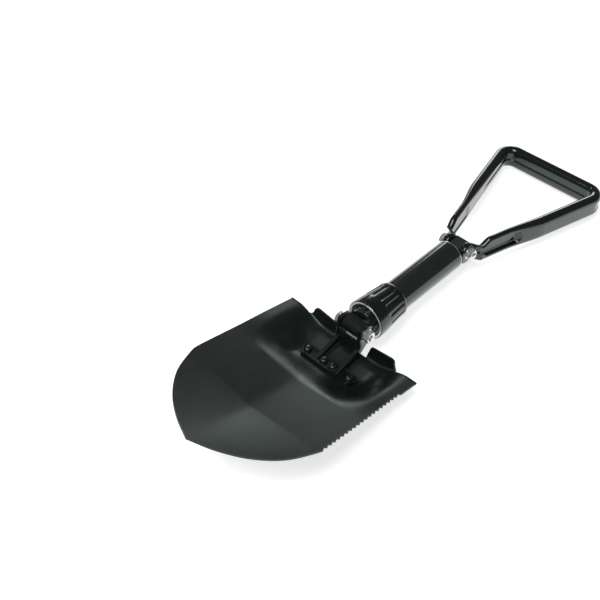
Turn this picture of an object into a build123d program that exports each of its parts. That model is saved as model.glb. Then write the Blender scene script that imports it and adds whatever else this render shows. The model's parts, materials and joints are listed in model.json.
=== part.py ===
"""Folding camp shovel with a triangular D-handle, as separate pieces.

Lengths are in millimetres. The pieces are first built straight, in the frame of the
hinge they turn on, then laid on the floor by place_*():
  tube frame    origin on the tube axis below the blade pivot, +X along the tube
  blade frame   origin on the blade pivot, tip towards -X, hollow side towards +Z
  handle frame  origin on the handle pivot, grip towards +X
In the finished frame the floor is Z = 0 and the shovel lies on its back along X.
"""

import os
from math import atan2, cos, degrees, radians, sin, sqrt

from build123d import *

# ---------------------------------------------------------------- pose on the floor
LEAN = 2.17           # the tube falls by this angle towards the handle
LIFT = 28.3           # height of the blade pivot above the floor
SHIFT = -63.35        # X of the blade pivot: centres the shovel on the origin
BLADE_TILT = 9.0      # tip raised above the tube line: the hinge is slack
HANDLE_DROOP = 1.5    # the grip hangs below the tube line

# ---------------------------------------------------------------- tube and pivots
PIVOT_RISE = 3.0      # both pivots sit above the tube axis
HANDLE_X = 150.3      # blade pivot to handle pivot
TUBE_R = 15.1
TUBE_BORE_R = 13.1
TUBE_START = 38.0
TUBE_END = 137.3
END_RING = 1.0        # bare ring on the tube's rim

# ---------------------------------------------------------------- blade
HALF_WIDTH = 75.0
HALF_WIDTH_LOW = 77.0
SIDE_END = 126.5
TIP = 197.0
SHEET = 2.0
EDGE_DROP = 13.8      # blade edge below the pivot at the shoulders
EDGE_RISE = 7.1       # the edge climbs by this much over the blade's length
DISH = 7.6
POCKET = 18.0         # deeper dish where the hinge bracket sits
TREAD_INNER = 21.0
TREAD_OUTER = 48.0
TREAD_FRONT = 1.6
TREAD_THICK = 2.2
TEETH = 20
TOOTH_PITCH = 5.0
TOOTH_START = 21.5
TOOTH_R = 2.75
TOOTH_DEPTH = 2.1

# ---------------------------------------------------------------- hinge of the blade
BOLT_R = 3.0
BOLT_HOLE_R = 3.05
KNUCKLE_HALF = 10.2
EAR_IN = 10.5
EAR_OUT = 14.0
CAM = 7.5             # flats on the ears, from the pivot
CAM_CORNER_R = 9.0
STRAP_HALF = 31.0
STRAP_BACK = -21.5
STRAP_FRONT = -35.5
STRAP_THICK = 2.5
STRAP_GAP = 0.15
HEEL = -6.2          # cross web between the ears, which closes the bracket's back
HEEL_THICK = 2.4
HEEL_TOP = -7.6
RIVETS = [(-28.5, 25.0), (-28.5, -25.0), (-28.5, 5.4), (-28.5, -5.4)]
RIVET_HEAD_R = 4.2
RIVET_R = 2.5

# ---------------------------------------------------------------- threaded knuckle
NECK_LOW = -11.6      # the block under the eye, short of the collar's thread
NECK_END = 8.2
THREAD_R = 13.0
THREAD_START = 10.0
THREAD_END = 38.0
STOP_RING_START = 33.4
STOP_RING_END = 37.8
STOP_RING_R = 14.7
SHANK_R = 13.0
SHANK_END = 72.0
CROSS_PIN_X = 43.0
CROSS_PIN_R = 2.0

# ---------------------------------------------------------------- lock collar
COLLAR_FRONT = 15.2
COLLAR_LENGTH = 39.0
COLLAR_FRONT_R = 20.0
COLLAR_REAR_R = 17.2
COLLAR_BORE_R = 15.4
RECESS = 2.2
INSERT_BORE_R = 13.3
INSERT_R = 16.2
INSERT_END = 33.0
RING_IN = 17.0
RING_OUT = 19.2
FLUTES = 14
FLUTE_R = 2.2
FLUTE_BITE = 0.9

# ---------------------------------------------------------------- D-handle
GRIP_OUTER = 171.4
BAR_W = 12.0
BAR_D = 24.0
BAR_WALL = 1.5
BEND_R = 12.5
LEG_IN_X = 11.0
LEG_IN_Y = 15.5
LEG_SPLAY = 14.1
FLAT_END = 46.0
FLAT_THICK = 7.0
FLAT_DEPTH = 25.0
TAPER_END = 84.0
GROOVE_END = 60.0
GROOVE_HALF = 7.0
WEB = 3.5
HANDLE_EAR_IN = 6.9
HANDLE_EAR_OUT = 13.6
HANDLE_EAR_R = 9.2
NECK_TOP = 5.8
TONGUE_HALF = 6.6
TONGUE_TOP = 4.9
TONGUE_BOTTOM = -8.5
TONGUE_REACH = 9.3

# ---------------------------------------------------------------- fasteners
HEX_AF = 10.0
HEAD_H = 4.0
NUT_H = 5.0
WASHER_R = 6.2
WASHER_T = 1.2

PARTS = []


def drop(angle):
    """Turn about Y: positive lowers +X and raises -X."""
    return Rotation(0, angle, 0)


def keep(shape, label):
    shape.label = label
    PARTS.append(shape)


def place_tube(shape, label):
    down = Location((SHIFT, 0, LIFT)) * drop(LEAN) * Location((0, 0, -PIVOT_RISE))
    keep(shape.moved(down), label)


def place_blade(shape, label):
    keep(shape.moved(Location((SHIFT, 0, LIFT)) * drop(LEAN + BLADE_TILT)), label)


def place_handle(shape, label):
    pivot = Location((SHIFT, 0, LIFT)) * drop(LEAN) * Location((HANDLE_X, 0, 0))
    keep(shape.moved(pivot * drop(HANDLE_DROOP)), label)


# ================================================================ blade sheet
def smooth(t):
    t = min(max(t, 0.0), 1.0)
    return t * t * (3 - 2 * t)


def dish_z(x, y):
    """Height of the blade's hollow face at a point of its plan."""
    back = -x
    edge = -EDGE_DROP + EDGE_RISE * max(back, 0) / TIP
    s = abs(y) / HALF_WIDTH_LOW
    fade = min(max((back - SIDE_END) / (TIP - SIDE_END), 0), 1) ** 1.2
    crease = 1 - sqrt(s * s + 0.004) + sqrt(0.004)
    bowl = smooth((66 - abs(y)) / 34)
    pocket = smooth((74 - back) / 40)
    deep = POCKET * (0.56 + 0.44 * smooth(back / 26))
    return edge - (1 - pocket) * DISH * (1 - fade) * crease - pocket * deep * bowl


def dish_face(x_from, x_to, y_half, lift, nx, ny):
    """A smooth face through the dish's heights, raised by lift."""
    grid = []
    for i in range(nx):
        x = x_from + (x_to - x_from) * i / (nx - 1)
        row = []
        for j in range(ny):
            y = -y_half + 2 * y_half * j / (ny - 1)
            row.append(Vector(x, y, dish_z(x, y) + lift))
        grid.append(row)
    return Face.make_surface_from_array_of_points(grid, tol=0.02, min_deg=3, max_deg=6)


sheet_top = dish_face(-206, 8, 84, 0, 44, 33)

with BuildPart() as blade:
    extrude(to_extrude=sheet_top, amount=SHEET, dir=(0, 0, -1))
    with BuildSketch(Plane.XY.offset(-60)):
        with BuildLine():
            side = Line((0, HALF_WIDTH), (-SIDE_END + 8, HALF_WIDTH_LOW))
            toe = Spline(side @ 1, (-SIDE_END - 24.5, 64), (-SIDE_END - 44.5, 46.2),
                         (-SIDE_END - 60, 23.5), (-TIP, 0),
                         tangents=(side % 1, (-0.38, -0.92)))
            top = Line((0, HALF_WIDTH), (0, TREAD_OUTER + 5))
            lip = RadiusArc(top @ 1, (TREAD_FRONT + TREAD_THICK, TREAD_OUTER), 8)
            front = Line(lip @ 1, (TREAD_FRONT + TREAD_THICK, TREAD_INNER))
            notch = Line(front @ 1, (0.5, TREAD_INNER - 1.5))
            Line(notch @ 1, (0.5, 0))
            Line((0.5, 0), (-TIP, 0))
        make_face()
        mirror(about=Plane.XZ)
    extrude(amount=60, mode=Mode.INTERSECT)
    # foot treads: the shoulder turned up towards the hollow side
    for side_sign in (1, -1):
        mid = side_sign * (TREAD_INNER + TREAD_OUTER) / 2
        with BuildSketch(Plane((TREAD_FRONT, 0, 0), x_dir=(0, 1, 0), z_dir=(1, 0, 0))):
            with BuildLine():
                a = side_sign * TREAD_INNER
                b = side_sign * TREAD_OUTER
                Polyline((a, dish_z(0, TREAD_INNER) - 1), (b, dish_z(0, TREAD_OUTER) - 1),
                         (b, -10.0), (b - side_sign * 4, -8.4), (a + side_sign * 3, -10.2),
                         (a, -12.5), close=True)
            make_face()
        extrude(amount=TREAD_THICK)
    # saw teeth along the right-hand edge
    slope = (HALF_WIDTH_LOW - HALF_WIDTH) / SIDE_END
    tooth_at = []
    for i in range(TEETH):
        back = TOOTH_START + TOOTH_PITCH * (i + 0.5)
        tooth_at.append((-back, -(HALF_WIDTH + slope * back) - TOOTH_R + TOOTH_DEPTH))
    with BuildSketch(Plane.XY.offset(-40)):
        with Locations(*tooth_at):
            Circle(TOOTH_R)
    extrude(amount=40, mode=Mode.SUBTRACT)
    with Locations(*[(x, y, -40) for x, y in RIVETS]):
        Cylinder(RIVET_R + 0.05, 60, mode=Mode.SUBTRACT)
place_blade(blade.part, "blade")

# ================================================================ hinge bracket
strap_face = dish_face(-48, 4, 40, STRAP_GAP, 24, 25)

with BuildPart() as bracket:
    extrude(to_extrude=strap_face, amount=STRAP_THICK, dir=(0, 0, 1))
    with BuildSketch(Plane.XY.offset(-60)):
        with Locations(((STRAP_BACK + STRAP_FRONT) / 2, 0)):
            SlotOverall(2 * STRAP_HALF, STRAP_BACK - STRAP_FRONT, rotation=90)
        with Locations((-19.5, 0)):
            Rectangle(32, 2 * EAR_OUT)
    extrude(amount=60, mode=Mode.INTERSECT)
    # ears: a rounded square at the pivot, whose flats the collar locks on
    with BuildSketch(Plane.XZ) as ear:
        Rectangle(2 * CAM, 2 * CAM)
        Circle(CAM_CORNER_R, mode=Mode.INTERSECT)
        with BuildLine():
            foot = [(x, dish_z(x, EAR_OUT) + 1.3) for x in (-4, -10, -17, -24, -32)]
            Polyline((CAM, 0), (5.5, -12), (-2, -21.0), *foot, (-35, -28.5),
                     (-25, -24.9), (-13, -19.2), (-6.0, -15.4), (-6.0, -7.2), (-CAM, -4.2),
                     (-CAM, 0), close=True)
        make_face()
    with Locations((0, EAR_OUT, 0), (0, -EAR_IN, 0)):
        add(extrude(ear.sketch, amount=EAR_OUT - EAR_IN, mode=Mode.PRIVATE))
    # the cross web, tied to both ears and to the base plate
    with BuildSketch(Plane.XZ) as heel:
        with BuildLine():
            foot_z = dish_z(HEEL, 0) + STRAP_GAP + 1.4
            Polyline((HEEL, HEEL_TOP), (HEEL + HEEL_THICK, HEEL_TOP),
                     (HEEL + HEEL_THICK, foot_z), (HEEL, foot_z), close=True)
        make_face()
    extrude(heel.sketch, amount=EAR_IN + 0.5, both=True)
    Cylinder(BOLT_HOLE_R, 40, rotation=(90, 0, 0), mode=Mode.SUBTRACT)
    with Locations(*[(x, y, -25) for x, y in RIVETS]):
        Cylinder(RIVET_R + 0.05, 30, mode=Mode.SUBTRACT)
place_blade(bracket.part, "hinge_bracket")

# rivets: a domed head on the bracket, a shank, and a low head on the blade's back
with BuildPart() as rivets:
    for x, y in RIVETS:
        seat = dish_z(x, y)
        high = seat + STRAP_GAP + STRAP_THICK + 1.6
        low = seat - SHEET - 0.25
        with BuildSketch(Plane((x, y, 0), x_dir=(1, 0, 0), z_dir=(0, -1, 0))):
            with BuildLine():
                Polyline((0, low - 0.9), (RIVET_R, low - 0.9), (RIVET_HEAD_R, low - 0.3),
                         (RIVET_HEAD_R, low), (RIVET_R, low), (RIVET_R, high),
                         (RIVET_HEAD_R, high), (RIVET_HEAD_R, high + 0.6), (2.6, high + 1.8),
                         (0, high + 2.2), close=True)
            make_face()
        revolve(axis=Axis((x, y, 0), (0, 0, 1)))
place_blade(rivets.part, "bracket_rivets")


# ================================================================ cross bolts
def hex_bolt(outer):
    """A bolt along Y: head at -Y beyond outer, shank to +Y, with a short free end."""
    with BuildPart() as bolt:
        with BuildSketch(Plane.XZ.offset(outer + WASHER_T)):
            RegularPolygon(HEX_AF / 2, 6, major_radius=False)
        extrude(amount=HEAD_H)
        chamfer(bolt.faces().sort_by(Axis.Y)[0].edges(), 0.5)
        with BuildSketch(Plane.XZ.offset(outer + WASHER_T)):
            Circle(BOLT_R)
        extrude(amount=-(2 * (outer + WASHER_T) + NUT_H + 1.5))
        chamfer(bolt.faces().sort_by(Axis.Y)[-1].edges(), 0.5)
    return bolt.part


def hex_nut(outer):
    with BuildPart() as nut:
        with BuildSketch(Plane.XZ.offset(-(outer + WASHER_T))):
            RegularPolygon(HEX_AF / 2, 6, major_radius=False)
            Circle(BOLT_R + 0.02, mode=Mode.SUBTRACT)
        extrude(amount=-NUT_H)
    return nut.part


def washer_pair(outer):
    with BuildPart() as pair:
        for face in (outer + WASHER_T, -outer):
            with BuildSketch(Plane.XZ.offset(face)):
                Circle(WASHER_R)
                Circle(BOLT_R + 0.1, mode=Mode.SUBTRACT)
            extrude(amount=-WASHER_T)
    return pair.part


place_blade(hex_bolt(EAR_OUT).mirror(Plane.XZ), "blade_pivot_bolt")
place_blade(hex_nut(EAR_OUT).mirror(Plane.XZ), "blade_pivot_nut")
place_blade(washer_pair(EAR_OUT), "blade_pivot_washers")

# ================================================================ threaded knuckle
with BuildPart() as knuckle:
    # shank and thread about the tube axis
    with BuildSketch(Plane.XZ) as turned:
        with BuildLine():
            Polyline((THREAD_START, 0), (THREAD_START, THREAD_R - 1.2),
                     (THREAD_START + 1.2, THREAD_R), (STOP_RING_START - 0.4, THREAD_R),
                     (STOP_RING_START - 0.4, THREAD_R - 1.0), (THREAD_END, THREAD_R - 1.0),
                     (THREAD_END, SHANK_R - 0.05), (SHANK_END - 1, SHANK_R - 0.05),
                     (SHANK_END, SHANK_R - 1), (SHANK_END, 0), close=True)
        make_face()
    revolve(axis=Axis.X)
    # the eye that the ears straddle, above the tube axis
    with BuildSketch(Plane.XZ) as eye:
        with Locations((0, PIVOT_RISE)):
            Circle(7.0)
        with BuildLine():
            Polyline((0, PIVOT_RISE + 7.0), (-5.0, PIVOT_RISE - 4.8), (-1.2, -8.6),
                     (0.6, NECK_LOW), (NECK_END - 0.8, NECK_LOW), (NECK_END, -8.0),
                     (THREAD_START + 1, -8.0), (THREAD_START + 1, 8.0),
                     (6, PIVOT_RISE + 7.0), close=True)
        make_face()
    extrude(amount=KNUCKLE_HALF, both=True)
    with Locations((0, 0, PIVOT_RISE)):
        Cylinder(BOLT_HOLE_R, 40, rotation=(90, 0, 0), mode=Mode.SUBTRACT)
    with Locations((CROSS_PIN_X, 0, 0)):
        Cylinder(CROSS_PIN_R + 0.02, 40, rotation=(90, 0, 0), mode=Mode.SUBTRACT)
    # the shank is bored out from the tube side
    with BuildSketch(Plane.YZ.offset(SHANK_END)):
        Circle(8.0)
    extrude(amount=-22, mode=Mode.SUBTRACT)
place_tube(knuckle.part, "threaded_knuckle")

with BuildPart() as stop_ring:
    with BuildSketch(Plane.YZ.offset(STOP_RING_START)):
        Circle(STOP_RING_R)
        Circle(THREAD_R - 0.95, mode=Mode.SUBTRACT)
    extrude(amount=STOP_RING_END - STOP_RING_START)
place_tube(stop_ring.part, "knuckle_stop_ring")

with BuildPart() as cross_pin:
    with BuildSketch(Plane.XZ):
        with Locations((CROSS_PIN_X, 0)):
            Circle(CROSS_PIN_R)
    extrude(amount=TUBE_R - 0.5, both=True)
place_tube(cross_pin.part, "knuckle_cross_pin")

# ================================================================ lock collar
with BuildPart() as collar:
    end = COLLAR_FRONT + COLLAR_LENGTH
    with BuildSketch(Plane.XZ) as wall:
        with BuildLine():
            Polyline((COLLAR_FRONT, RING_OUT + 0.05), (COLLAR_FRONT, COLLAR_FRONT_R - 0.3),
                     (COLLAR_FRONT + 0.6, COLLAR_FRONT_R), (COLLAR_FRONT + 7, COLLAR_FRONT_R),
                     (end - 5, COLLAR_REAR_R + 0.3), (end, COLLAR_REAR_R - 0.4),
                     (end, COLLAR_BORE_R), (INSERT_END, COLLAR_BORE_R),
                     (INSERT_END, INSERT_R + 0.02), (COLLAR_FRONT + RECESS, INSERT_R + 0.02),
                     (COLLAR_FRONT + RECESS, RING_OUT + 0.05), close=True)
        make_face()
    revolve(axis=Axis.X)
    # long finger flutes between the front band and the rear edge
    taper = atan2(COLLAR_FRONT_R - COLLAR_REAR_R, COLLAR_LENGTH - 12)
    start = COLLAR_FRONT + 7.5
    for i in range(FLUTES):
        turn = 360 / FLUTES * (i + 0.5)
        axis_r = COLLAR_FRONT_R + FLUTE_R - FLUTE_BITE
        where = Rotation(turn, 0, 0) * Location((start, 0, axis_r))
        lay = Plane(where * Rotation(0, 90 + degrees(taper), 0))
        with BuildSketch(lay):
            Circle(FLUTE_R)
        extrude(amount=26, mode=Mode.SUBTRACT)
place_tube(collar.part, "collar_shell")

with BuildPart() as insert:
    with BuildSketch(Plane.YZ.offset(COLLAR_FRONT + RECESS)):
        Circle(INSERT_R)
        Circle(INSERT_BORE_R, mode=Mode.SUBTRACT)
    extrude(amount=INSERT_END - COLLAR_FRONT - RECESS)
    chamfer(insert.edges().filter_by(GeomType.CIRCLE).group_by(Axis.X)[0].sort_by(
        SortBy.RADIUS)[0], 0.6)
place_tube(insert.part, "collar_threaded_insert")

with BuildPart() as ring:
    with BuildSketch(Plane.YZ.offset(COLLAR_FRONT - 0.4)):
        Circle(RING_OUT)
        Circle(RING_IN, mode=Mode.SUBTRACT)
    extrude(amount=RECESS + 0.3)
    chamfer(ring.edges().filter_by(GeomType.CIRCLE).group_by(Axis.X)[0], 0.3)
place_tube(ring.part, "collar_thrust_ring")

# ================================================================ tube
with BuildPart() as tube:
    with BuildSketch(Plane.YZ.offset(TUBE_START)):
        Circle(TUBE_R)
        Circle(TUBE_BORE_R, mode=Mode.SUBTRACT)
    extrude(amount=TUBE_END - TUBE_START)
    with Locations((CROSS_PIN_X, 0, 0)):
        Cylinder(CROSS_PIN_R + 0.02, 40, rotation=(90, 0, 0), mode=Mode.SUBTRACT)
place_tube(tube.part, "shaft_tube")

with BuildPart() as end_ring:
    with BuildSketch(Plane.YZ.offset(TUBE_END)):
        Circle(TUBE_R)
        Circle(TUBE_BORE_R, mode=Mode.SUBTRACT)
    extrude(amount=END_RING)
    chamfer(end_ring.edges().group_by(Axis.X)[-1].sort_by(SortBy.RADIUS)[-1], 0.4)
place_tube(end_ring.part, "tube_end_ring")

# ================================================================ handle yoke
with BuildPart() as yoke:
    with BuildSketch(Plane.YZ.offset(TUBE_END - 34)):
        Circle(TUBE_BORE_R - 0.05)
        Circle(8, mode=Mode.SUBTRACT)
    extrude(amount=26)
    with BuildSketch(Plane.YZ.offset(TUBE_END - 8)):
        Circle(TUBE_BORE_R - 0.05)
    extrude(amount=8 + END_RING - 0.3)
    with BuildSketch(Plane.XZ):
        with BuildLine():
            low = PIVOT_RISE + TONGUE_BOTTOM
            high = PIVOT_RISE + TONGUE_TOP
            Polyline((TUBE_END - 3, low), (HANDLE_X + 2, low),
                     (HANDLE_X + TONGUE_REACH - 1, low + 6), (HANDLE_X + TONGUE_REACH, low + 9),
                     (HANDLE_X + TONGUE_REACH, high - 1), (HANDLE_X + TONGUE_REACH - 1, high),
                     (TUBE_END - 3, high), close=True)
        make_face()
    extrude(amount=TONGUE_HALF, both=True)
    with Locations((HANDLE_X, 0, PIVOT_RISE)):
        Cylinder(BOLT_HOLE_R, 40, rotation=(90, 0, 0), mode=Mode.SUBTRACT)
place_tube(yoke.part, "handle_yoke")

# ================================================================ D-handle
splay = radians(LEG_SPLAY)
leg = Vector(cos(splay), sin(splay), 0)
out = Vector(-sin(splay), cos(splay), 0)


def on_leg(reach, depth):
    """Plan point at a distance along the leg's inner face and a depth outwards."""
    base = Vector(LEG_IN_X, LEG_IN_Y, 0)
    return base + leg * ((reach - LEG_IN_X) / cos(splay)) + out * depth


def plan(reach, depth):
    spot = on_leg(reach, depth)
    return (spot.X, spot.Y)


def leg_plane(reach, width):
    centre = on_leg(reach, width / 2)
    return Plane(centre, x_dir=out, z_dir=leg)


def bar_section(plane, width, height, wall=0.0):
    """A flattened round outline, or its bore when a wall is given."""
    with BuildSketch(plane) as section:
        Rectangle(width - 2 * wall, height - 2 * wall)
        fillet(section.vertices(), (width - 2 * wall) / 2 - 0.05)
    return section.sketch


bar_outline = bar_section(leg_plane(TAPER_END, BAR_W), BAR_W, BAR_D)
bar_bore = bar_section(leg_plane(TAPER_END, BAR_W), BAR_W, BAR_D, BAR_WALL)
flat_outline = bar_section(leg_plane(FLAT_END, FLAT_THICK), FLAT_THICK, FLAT_DEPTH)

grip_mid = GRIP_OUTER - BAR_W / 2
leg_start = on_leg(TAPER_END, BAR_W / 2)
corner_reach = (grip_mid - leg_start.X) / leg.X
corner = leg_start + leg * corner_reach

with BuildLine() as centre_line:
    points = [leg_start, corner, Vector(corner.X, -corner.Y, 0)]
    points.append(Vector(leg_start.X, -leg_start.Y, 0))
    FilletPolyline(*points, radius=BEND_R)

leg_taper = loft([flat_outline, bar_outline])

with BuildPart() as flat_leg:
    # the pressed end in plan: flat ear on the yoke, a crank outwards, then the splayed leg
    with BuildSketch(Plane.XY.offset(-FLAT_DEPTH / 2)):
        with BuildLine():
            Polyline((-HANDLE_EAR_R, HANDLE_EAR_IN), (7.9, HANDLE_EAR_IN), (10.3, LEG_IN_Y - 1.3),
                     plan(LEG_IN_X, 0), plan(FLAT_END, 0), plan(FLAT_END, FLAT_THICK),
                     plan(LEG_IN_X + 2.5, FLAT_THICK), (9.2, 17.6), (6.8, HANDLE_EAR_OUT),
                     (-HANDLE_EAR_R, HANDLE_EAR_OUT), close=True)
        make_face()
    extrude(amount=FLAT_DEPTH)
    # its side view: the top is necked to pass the tube's end, the bottom edge runs on
    with BuildSketch(Plane.XZ.offset(-60)):
        Circle(HANDLE_EAR_R)
        with BuildLine():
            rise = Spline((6.6, NECK_TOP + 0.5), (10.7, NECK_TOP), (23, FLAT_DEPTH / 2),
                          tangents=((1, -0.25), (1, 0.05)))
            Polyline(rise @ 1, (FLAT_END + 4, FLAT_DEPTH / 2), (FLAT_END + 4, -FLAT_DEPTH / 2),
                     (-2.5, -FLAT_DEPTH / 2))
            heel = Spline((-2.5, -FLAT_DEPTH / 2), (-HANDLE_EAR_R, -4), (-HANDLE_EAR_R, 0),
                          tangents=((-1, 0), (0, 1)))
            Line(heel @ 1, (0, 0))
            Line((0, 0), rise @ 0)
        make_face()
    extrude(amount=60, mode=Mode.INTERSECT)
    add(leg_taper)
    # the pressed groove along the outer face, which leaves a rolled rim above and below
    with BuildSketch(Plane.XZ.offset(-60)) as groove_side:
        with Locations(((GROOVE_END - 30) / 2, 0)):
            SlotOverall(GROOVE_END + 30, 2 * GROOVE_HALF)
    groove = extrude(amount=60, mode=Mode.PRIVATE)
    with BuildSketch(Plane.XY.offset(-GROOVE_HALF), mode=Mode.PRIVATE) as groove_plan:
        with BuildLine():
            Polyline((8.6, 40), (8.6, LEG_IN_Y - 0.4), plan(LEG_IN_X, WEB),
                     plan(GROOVE_END + 5, WEB), plan(GROOVE_END + 5, 20), close=True)
        make_face()
    deep = extrude(groove_plan.sketch, amount=2 * GROOVE_HALF, mode=Mode.PRIVATE)
    add(groove & deep, mode=Mode.SUBTRACT)

with BuildPart() as d_handle:
    sweep(bar_outline, path=centre_line.wires()[0])
    add(flat_leg.part)
    add(flat_leg.part.mirror(Plane.XZ))
    sweep(bar_bore, path=centre_line.wires()[0], mode=Mode.SUBTRACT)
    Cylinder(BOLT_HOLE_R + 0.05, 60, rotation=(90, 0, 0), mode=Mode.SUBTRACT)
place_handle(d_handle.part, "d_handle")

place_handle(hex_bolt(HANDLE_EAR_OUT).mirror(Plane.XZ), "handle_pivot_bolt")
place_handle(hex_nut(HANDLE_EAR_OUT).mirror(Plane.XZ), "handle_pivot_nut")
place_handle(washer_pair(HANDLE_EAR_OUT), "handle_pivot_washers")

# ================================================================ export
os.makedirs("parts", exist_ok=True)
for piece in PARTS:
    export_step(piece, "parts/" + piece.label + ".step")
    box = piece.bounding_box()
    print(piece.label, "solids", len(piece.solids()), "volume", round(piece.volume),
          "x", round(box.min.X, 1), round(box.max.X, 1),
          "y", round(box.min.Y, 1), round(box.max.Y, 1),
          "z", round(box.min.Z, 1), round(box.max.Z, 1))
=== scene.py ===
"""Looks for the folding camp shovel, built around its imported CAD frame.

Shapes are worked out in millimetres, in the frame of the hinge that each piece turns on,
and set down by the matrices TUBE, BLADE and HANDLE, which come from the record's joints.
"""

import json
from math import atan2, cos, pi, radians, sin, sqrt, tan

import bmesh
import bpy
import numpy as np
from mathutils import Matrix, Vector


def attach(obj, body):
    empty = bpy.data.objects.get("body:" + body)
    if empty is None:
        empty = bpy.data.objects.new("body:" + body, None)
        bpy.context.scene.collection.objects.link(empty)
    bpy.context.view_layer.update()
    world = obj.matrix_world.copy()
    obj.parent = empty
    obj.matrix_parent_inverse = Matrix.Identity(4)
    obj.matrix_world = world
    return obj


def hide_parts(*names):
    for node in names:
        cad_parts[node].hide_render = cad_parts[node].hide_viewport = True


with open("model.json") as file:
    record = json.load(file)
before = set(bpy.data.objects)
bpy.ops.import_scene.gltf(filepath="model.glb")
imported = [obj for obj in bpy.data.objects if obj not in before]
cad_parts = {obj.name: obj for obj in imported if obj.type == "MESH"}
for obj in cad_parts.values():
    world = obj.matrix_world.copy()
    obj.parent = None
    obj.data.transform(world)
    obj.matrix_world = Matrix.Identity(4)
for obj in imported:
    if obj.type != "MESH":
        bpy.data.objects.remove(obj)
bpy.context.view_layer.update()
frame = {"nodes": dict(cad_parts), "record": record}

# ------------------------------------------------------------------ frames of the hinges
JOINTS = {j["name"]: j for j in frame["record"]["behaviour"]["joints"]}
BLADE_PIVOT = Vector(JOINTS["blade_hinge"]["pos_m"])
HANDLE_PIVOT = Vector(JOINTS["handle_hinge"]["pos_m"])
SLIDE = Vector(JOINTS["collar_slide"]["axis"])
# the tube's lean, the blade's turn up from the tube's line, and the handle's turn down from it
LEAN = atan2(SLIDE.z, -SLIDE.x)
TILT = radians(-JOINTS["blade_hinge"]["range_deg"][0])
DROOP = radians(1.5)
PIVOT_RISE = 3.0      # the blade's pivot above the tube's axis
MM = Matrix.Scale(0.001, 4)


def turned(place, angle):
    """A millimetre frame at a pivot, turned about the axis of the hinges."""
    return Matrix.Translation(place) @ Matrix.Rotation(angle, 4, "Y") @ MM


TUBE = turned(BLADE_PIVOT, LEAN) @ Matrix.Translation((0, 0, -PIVOT_RISE))
BLADE = turned(BLADE_PIVOT, LEAN + TILT)
HANDLE = turned(HANDLE_PIVOT, LEAN + DROOP)


# ------------------------------------------------------------------ mesh helpers
WELD, NO_LENGTH = 1e-6, 1e-7      # metres: points this close are one, edges this short go


def piece(name, parts, place, body, material, replaced=(), sharp=35):
    """One object from a list of (vertices, faces), laid down by a frame matrix."""
    verts, faces = [], []
    for vs, fs in parts:
        base = len(verts)
        verts.extend(place @ Vector(v) for v in vs)
        faces.extend(tuple(base + i for i in f) for f in fs)
    mesh = bpy.data.meshes.new(name)
    mesh.from_pydata(verts, [], faces)
    bm = bmesh.new()
    bm.from_mesh(mesh)
    bmesh.ops.remove_doubles(bm, verts=bm.verts, dist=WELD)
    bmesh.ops.dissolve_degenerate(bm, edges=bm.edges, dist=NO_LENGTH)
    bmesh.ops.recalc_face_normals(bm, faces=bm.faces)
    bm.to_mesh(mesh)
    bm.free()
    obj = bpy.data.objects.new(name, mesh)
    bpy.context.scene.collection.objects.link(obj)
    mesh.shade_smooth()
    mesh.set_sharp_from_angle(angle=radians(sharp))
    mesh.materials.append(material)
    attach(obj, body)
    if replaced:
        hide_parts(*replaced)
    return obj


def grid(rows, closed=False):
    """Quads over a list of rows of points; closed joins each row's end to its start."""
    m = len(rows[0])
    verts = [p for row in rows for p in row]
    faces = []
    for i in range(len(rows) - 1):
        for j in range(m if closed else m - 1):
            after = (j + 1) % m
            faces.append((i * m + j, i * m + after, (i + 1) * m + after, (i + 1) * m + j))
    return verts, faces


def tube_of(rings, cap=True):
    """A skin over a list of rings of points, with its two ends filled if cap is set."""
    verts, faces = grid(rings, closed=True)
    if cap:
        m = len(rings[0])
        faces.append(tuple(range(m)))
        faces.append(tuple(range(len(verts) - m, len(verts))))
    return verts, faces


def lathe(profile, axis, steps, offset=(0, 0, 0)):
    """Turns (along, radius) points about an axis."""
    rings = []
    for along, r in profile:
        ring = []
        for k in range(steps):
            t = 2 * pi * k / steps
            p = {"X": (along, r * cos(t), r * sin(t)),
                 "Y": (r * cos(t), along, r * sin(t)),
                 "Z": (r * cos(t), r * sin(t), along)}[axis]
            ring.append(tuple(p[i] + offset[i] for i in range(3)))
        rings.append(ring)
    return tube_of(rings, cap=False)


def plate(outline, low, high):
    """A flat outline of (x, z) points pushed from low to high along Y."""
    n = len(outline)
    verts = [(x, low, z) for x, z in outline] + [(x, high, z) for x, z in outline]
    faces = [tuple(range(n)), tuple(range(n, 2 * n))]
    faces += [(i, (i + 1) % n, n + (i + 1) % n, n + i) for i in range(n)]
    return verts, faces


def smooth(t):
    """A soft step from 0 to 1 as t goes from 0 to 1."""
    t = min(max(t, 0.0), 1.0)
    return t * t * (3 - 2 * t)


def lerp(a, b, t):
    """Between a and b, at the share t of the way."""
    return a + (b - a) * t


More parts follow.
